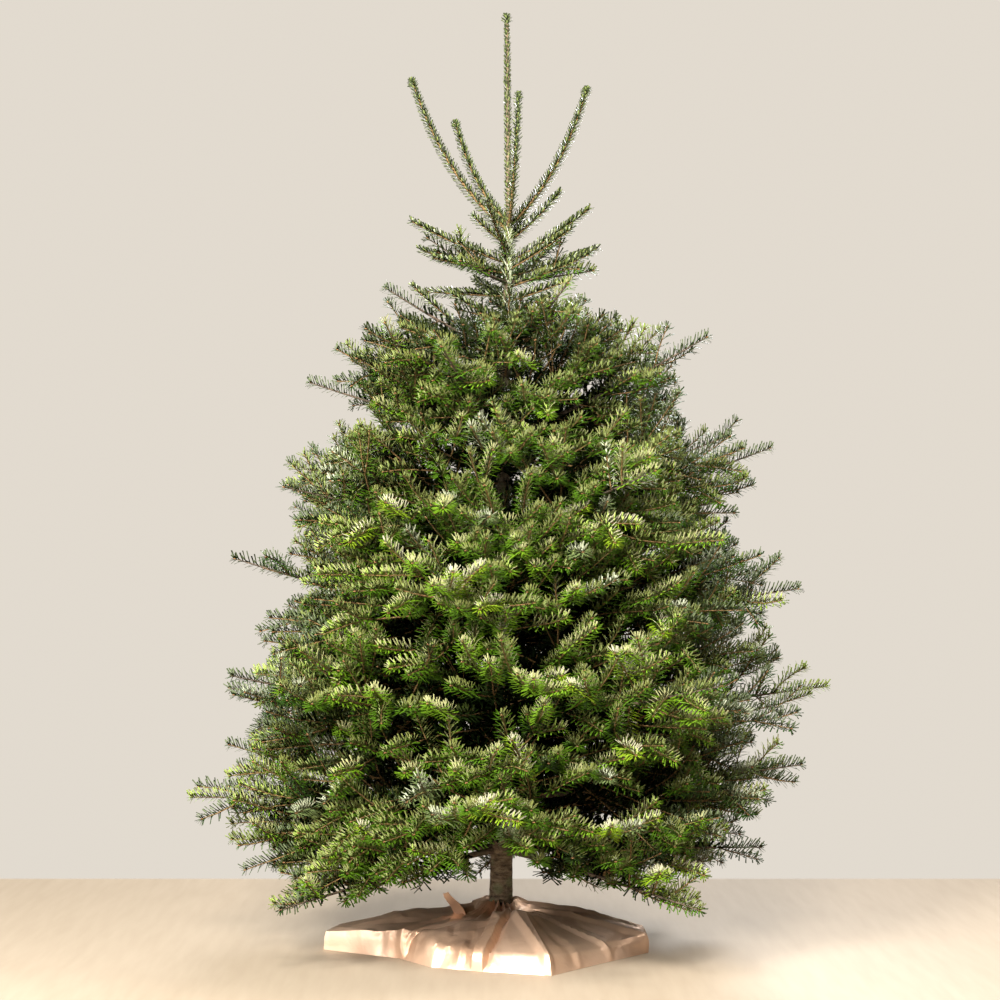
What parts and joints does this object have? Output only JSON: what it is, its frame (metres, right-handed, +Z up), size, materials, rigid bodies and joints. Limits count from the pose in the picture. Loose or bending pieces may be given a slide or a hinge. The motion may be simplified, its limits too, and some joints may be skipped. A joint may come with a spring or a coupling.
{
  "type": "christmas tree",
  "caption": "Cut fir with a full conical crown of whorled boughs and a slender leader, standing upright in a low wrapped stand.",
  "frame": {"origin": "on the stand's flat underside, straight below the foot of the trunk", "axes": "+Z up along the trunk, -Y towards the viewer of the picture, +X to the viewer's right"},
  "size_m": [1.4842, 1.4301, 2.15],
  "materials": {
    "bark": "rough mottled grey-brown bark",
    "needles": "glossy dark green needles, pale underneath",
    "wrap": "crumpled satin champagne wrapping paper"
  },
  "bodies": {
    "root": {"stand": "wrap", "trunk": "bark", "leader_needles": "needles", "top_shoot_left": "needles", "top_shoot_inner": "needles", "top_shoot_front": "needles", "top_shoot_right": "needles", "bough_skirt_1": "bark", "foliage_skirt_1": "needles", "bough_skirt_2": "bark", "foliage_skirt_2": "needles", "bough_skirt_3": "bark", "foliage_skirt_3": "needles", "bough_skirt_4": "bark", "foliage_skirt_4": "needles", "bough_skirt_5": "bark", "foliage_skirt_5": "needles", "bough_low_1": "bark", "foliage_low_1": "needles", "bough_low_2": "bark", "foliage_low_2": "needles", "bough_low_3": "bark", "foliage_low_3": "needles", "bough_low_4": "bark", "foliage_low_4": "needles", "bough_low_5": "bark", "foliage_low_5": "needles", "bough_wide_1": "bark", "foliage_wide_1": "needles", "bough_wide_2": "bark", "foliage_wide_2": "needles", "bough_wide_3": "bark", "foliage_wide_3": "needles", "bough_wide_4": "bark", "foliage_wide_4": "needles", "bough_wide_5": "bark", "foliage_wide_5": "needles", "foliage_middle_1": "needles", "foliage_middle_2": "needles", "foliage_middle_3": "needles", "foliage_middle_4": "needles", "foliage_middle_5": "needles", "foliage_upper_1": "needles", "foliage_upper_2": "needles", "foliage_upper_3": "needles", "foliage_upper_4": "needles", "foliage_upper_5": "needles", "foliage_shoulder_1": "needles", "foliage_shoulder_2": "needles", "foliage_shoulder_3": "needles", "foliage_shoulder_4": "needles", "foliage_shoulder_5": "needles", "foliage_neck_1": "needles", "foliage_neck_2": "needles", "foliage_neck_3": "needles", "foliage_neck_4": "needles", "foliage_crown_1": "needles", "foliage_crown_2": "needles", "foliage_crown_3": "needles", "foliage_crown_4": "needles"}
  },
  "joints": []
}
